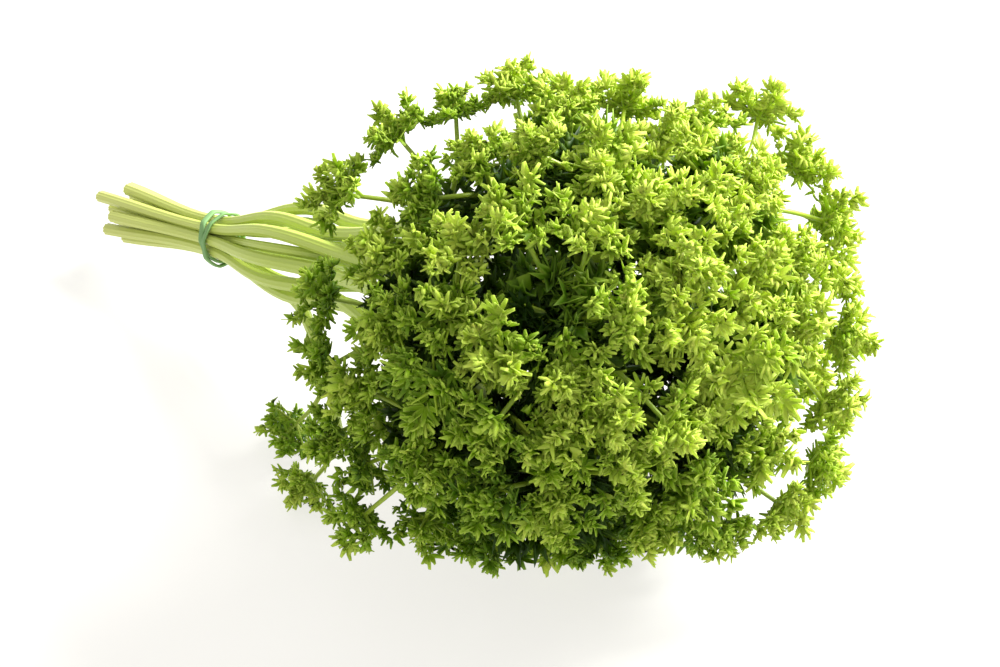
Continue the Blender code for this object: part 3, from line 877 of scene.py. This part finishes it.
def leaf_green():
    """Bright leaf that lets light through, paler at its feet and tips, with patches of darker green; its
    green follows each vertex's brightness, which carries painted light and painted shade.
    """
    made, tree, shader, output = shader_of("leaf_green")
    link = tree.links.new
    place = tree.nodes.new("ShaderNodeTexCoord")
    uv = tree.nodes.new("ShaderNodeSeparateXYZ")
    link(place.outputs["UV"], uv.inputs["Vector"])
    patches = tree.nodes.new("ShaderNodeTexNoise")
    patches.inputs["Scale"].default_value = PATCH_SCALE
    patches.inputs["Detail"].default_value = 2.0
    link(place.outputs["Object"], patches.inputs["Vector"])
    tone = tree.nodes.new("ShaderNodeAttribute")
    tone.attribute_name = "tone"
    mixed = tree.nodes.new("ShaderNodeMath")
    mixed.operation = "MULTIPLY_ADD"
    link(patches.outputs["Fac"], mixed.inputs[0])
    mixed.inputs[1].default_value = PATCH_WEIGHT
    link(tone.outputs["Fac"], mixed.inputs[2])
    lower = tree.nodes.new("ShaderNodeMath")
    lower.operation = "SUBTRACT"
    lower.inputs[1].default_value = PATCH_WEIGHT / 2
    link(mixed.outputs["Value"], lower.inputs[0])
    greens = ramp(tree, LEAF_GREENS_AND_PAINTED_SHADE)
    link(lower.outputs["Value"], greens.inputs["Fac"])
    pale_share = ramp(tree, PALE_SHARES)
    link(uv.outputs["Y"], pale_share.inputs["Fac"])
    pale = tree.nodes.new("ShaderNodeMix")
    pale.data_type = "RGBA"
    pale.inputs["B"].default_value = PALE_GREEN
    link(greens.outputs["Color"], pale.inputs["A"])
    # The pale feet and tips are scaled by the leaf's brightness, so that they fade where the leaf is in
    # painted shade
    paler = tree.nodes.new("ShaderNodeMath")
    paler.operation = "MULTIPLY"
    paler.use_clamp = True
    link(pale_share.outputs["Color"], paler.inputs[0])
    link(lower.outputs["Value"], paler.inputs[1])
    link(paler.outputs["Value"], pale.inputs["Factor"])
    link(pale.outputs["Result"], shader.inputs["Base Color"])
    shader.inputs["Roughness"].default_value = 0.5
    shader.inputs["Specular IOR Level"].default_value = 0.28
    glow = tree.nodes.new("ShaderNodeBsdfTranslucent")
    bright = tree.nodes.new("ShaderNodeMix")
    bright.data_type = "RGBA"
    bright.inputs["Factor"].default_value = GREEN_LIGHT_SHARE
    bright.inputs["B"].default_value = GREEN_LIGHT
    link(pale.outputs["Result"], bright.inputs["A"])
    link(bright.outputs["Result"], glow.inputs["Color"])
    through = tree.nodes.new("ShaderNodeMixShader")
    through.inputs["Fac"].default_value = LIGHT_THROUGH
    link(shader.outputs["BSDF"], through.inputs[1])
    link(glow.outputs["BSDF"], through.inputs[2])
    link(through.outputs["Shader"], output.inputs["Surface"])
    return made


def stalk_green():
    """Pale, waxy leafstalk, yellower towards the cut ends."""
    made, tree, shader, _ = shader_of("stalk_green")
    link = tree.links.new
    place = tree.nodes.new("ShaderNodeTexCoord")
    split = tree.nodes.new("ShaderNodeSeparateXYZ")
    link(place.outputs["Object"], split.inputs["Vector"])
    spread = tree.nodes.new("ShaderNodeMapRange")
    spread.inputs["From Min"].default_value = STALK_GREENS_ALONG[0]
    spread.inputs["From Max"].default_value = STALK_GREENS_ALONG[1]
    link(split.outputs["X"], spread.inputs["Value"])
    greens = ramp(tree, STALK_GREENS)
    link(spread.outputs["Result"], greens.inputs["Fac"])
    link(greens.outputs["Color"], shader.inputs["Base Color"])
    shader.inputs["Roughness"].default_value = 0.38
    return made


def band_rubber():
    made, _, shader, _ = shader_of("band_rubber")
    shader.inputs["Base Color"].default_value = RUBBER_GREEN
    shader.inputs["Roughness"].default_value = 0.65
    shader.inputs["Specular IOR Level"].default_value = 0.3
    return made


def floor():
    """A white table that glows a little, so that it stays white in the picture."""
    deselect()
    bpy.ops.mesh.primitive_plane_add(size=TABLE_SIZE)
    made = bpy.context.object
    made.name = "floor"
    paper, _, shader, _ = shader_of("white_table")
    shader.inputs["Base Color"].default_value = TABLE_WHITE
    shader.inputs["Roughness"].default_value = 0.8
    shader.inputs["Emission Color"].default_value = TABLE_GLOW
    shader.inputs["Emission Strength"].default_value = TABLE_GLOW_STRENGTH
    made.data.materials.append(paper)


def camera():
    """The photo's view: its direction and distance are those that the tufts are placed by."""
    data = bpy.data.cameras.new("camera")
    data.sensor_width = 36.0
    data.lens = LENS
    data.shift_x, data.shift_y = LENS_SHIFT
    made = added("camera", data)
    turn = Matrix([VIEW_RIGHT, VIEW_UP, VIEW_BACK]).transposed().to_4x4()
    made.matrix_world = Matrix.Translation((HEAD_CENTRE + VIEW_DISTANCE * VIEW_BACK) * MM) @ turn
    bpy.context.scene.camera = made


def lights():
    """White light from all round, and a window at the right of the picture, behind the bunch."""
    world = bpy.data.worlds.new("studio")
    bpy.context.scene.world = world
    world.use_nodes = True
    sky = world.node_tree.nodes["Background"]
    sky.inputs["Color"].default_value = (1, 1, 1, 1)
    sky.inputs["Strength"].default_value = SKY_STRENGTH
    data = bpy.data.lights.new("window", "AREA")
    data.size = WINDOW_SIZE
    data.energy = WINDOW_POWER
    window = added("window", data)
    aside = VIEW_RIGHT * WINDOW_ASIDE - VIEW_BACK * WINDOW_BEHIND
    window.location = (aside[0], aside[1], WINDOW_HEIGHT)
    aim = Vector(WINDOW_AIM) - Vector((aside[0], aside[1], WINDOW_HEIGHT))
    window.rotation_euler = aim.to_track_quat("-Z", "Y").to_euler()
    bpy.context.scene.view_settings.view_transform = "Standard"


def main():
    stems = plan()
    camera()
    lights()
    floor()
    green, stalk, rubber = leaf_green(), stalk_green(), band_rubber()
    toothed, plain, profile = Pinnule(2, 2), Pinnule(1, 1), ribbed_profile()
    inside = {stem.name: inner_tufts(stem) for stem in stems}
    every = [tuft for stem in stems for tuft in [*stem.tufts, *inside[stem.name]]]
    for stem in stems:
        place = stem.name.replace("sprig_", "")
        pieces = [
            leaves(f"leaves_{place}", stem.name, stem.tufts, every, toothed, green),
            stalks(f"stalks_{place}", stem, profile, stalk),
        ]
        if inside[stem.name]:
            pieces.append(leaves(f"inner_leaves_{place}", place, inside[stem.name], every, plain, green))
        for piece in pieces:
            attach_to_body(piece, "root")
            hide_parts(stem.name)
    bpy.data.objects.remove(profile)
    elastic = band(stems, rubber)
    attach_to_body(elastic, "root")
    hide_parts("rubber_band")


main()
